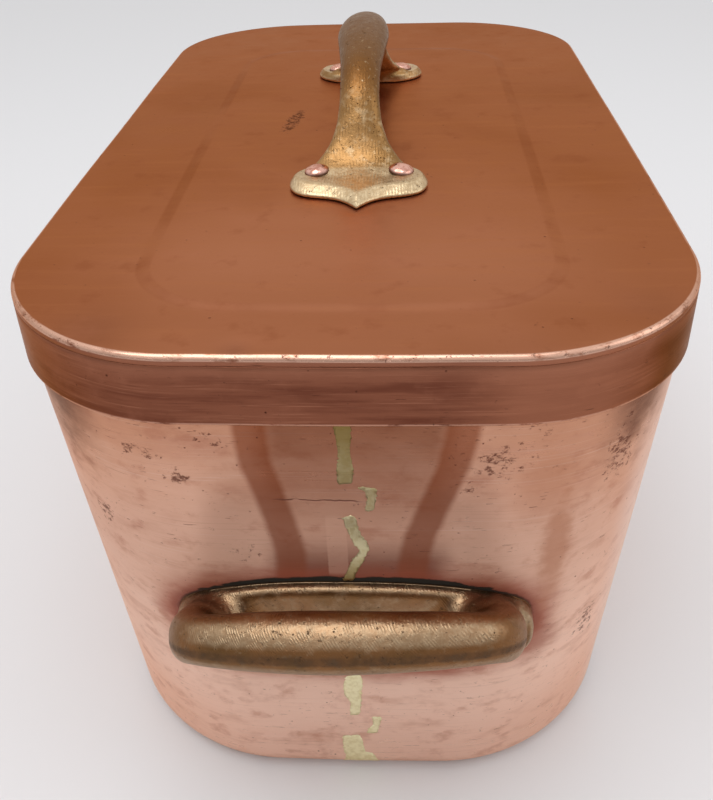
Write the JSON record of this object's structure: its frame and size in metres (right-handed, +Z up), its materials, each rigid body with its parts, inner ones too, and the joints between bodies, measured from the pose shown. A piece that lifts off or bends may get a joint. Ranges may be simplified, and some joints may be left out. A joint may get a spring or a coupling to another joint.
{
  "type": "rectangular braising pan with lid",
  "caption": "Long copper braising pan with rounded corners, bowed brass end handles and a cap lid with a cast brass bridge handle.",
  "frame": {"origin": "on the table under the middle of the pan", "axes": "+Z up, Y along the pan with the seamed front end facing -Y, X across it"},
  "size_m": [0.2572, 0.5342, 0.2857],
  "materials": {
    "pan_copper": "worn copper sheet, hand polished, faint planishing, pits and stains outside, wiped tin inside",
    "lid_copper": "browned copper sheet with a brushed haze, bright pitted edge, wiped tin underneath",
    "cast_brass": "sand cast brass, filed by hand, brown in the hollows",
    "braze": "pale yellow brass filling, filed flush",
    "rivet_copper": "hammered copper, rubbed bright on top"
  },
  "bodies": {
    "pan": {"pan_wall": "pan_copper", "wall_seam_braze": "braze", "pan_bottom": "pan_copper", "base_seam_braze": "braze", "front_handle": "cast_brass", "rear_handle": "cast_brass", "front_handle_rivet_left": "rivet_copper", "front_handle_rivet_middle": "rivet_copper", "front_handle_rivet_right": "rivet_copper", "rear_handle_rivet_left": "rivet_copper", "rear_handle_rivet_middle": "rivet_copper", "rear_handle_rivet_right": "rivet_copper"},
    "lid": {"lid_top": "lid_copper", "lid_band": "lid_copper", "lid_handle": "cast_brass", "lid_rivet_front_left": "rivet_copper", "lid_rivet_front_right": "rivet_copper", "lid_rivet_rear_left": "rivet_copper", "lid_rivet_rear_right": "rivet_copper"}
  },
  "joints": [
    {"name": "lid_lift", "type": "slide", "parent": "pan", "child": "lid", "axis": [0, 0, 1], "range_m": [0, 0.18]}
  ]
}
